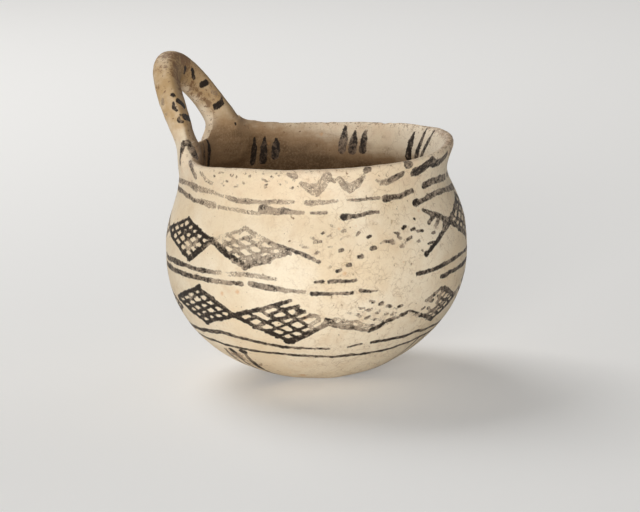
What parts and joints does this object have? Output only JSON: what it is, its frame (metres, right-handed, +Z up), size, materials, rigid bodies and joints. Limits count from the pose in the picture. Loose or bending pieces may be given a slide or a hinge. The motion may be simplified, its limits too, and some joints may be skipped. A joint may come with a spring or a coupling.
{
  "type": "pottery dipper",
  "caption": "Round-bottomed pottery dipper with a high loop handle on its lip, cream slip with dark painted bands and lozenges.",
  "frame": {"origin": "middle of the flattened resting spot under the bowl", "axes": "+Z up through the mouth, handle over -X, near leg of the handle on the -Y side"},
  "size_m": [0.1087, 0.105, 0.1128],
  "materials": {
    "slipped_earthenware": "matte cream slip, faintly burnished, with dark brown paint",
    "luting_clay": "matte cream slip, worn brownish"
  },
  "bodies": {
    "root": {"base_bowl": "slipped_earthenware", "shoulder_wall": "slipped_earthenware", "neck_and_lip": "slipped_earthenware", "handle_loop": "slipped_earthenware", "near_root_lute_outer": "luting_clay", "near_root_lute_inner": "luting_clay", "far_root_lute_outer": "luting_clay", "far_root_lute_inner": "luting_clay"}
  },
  "joints": []
}
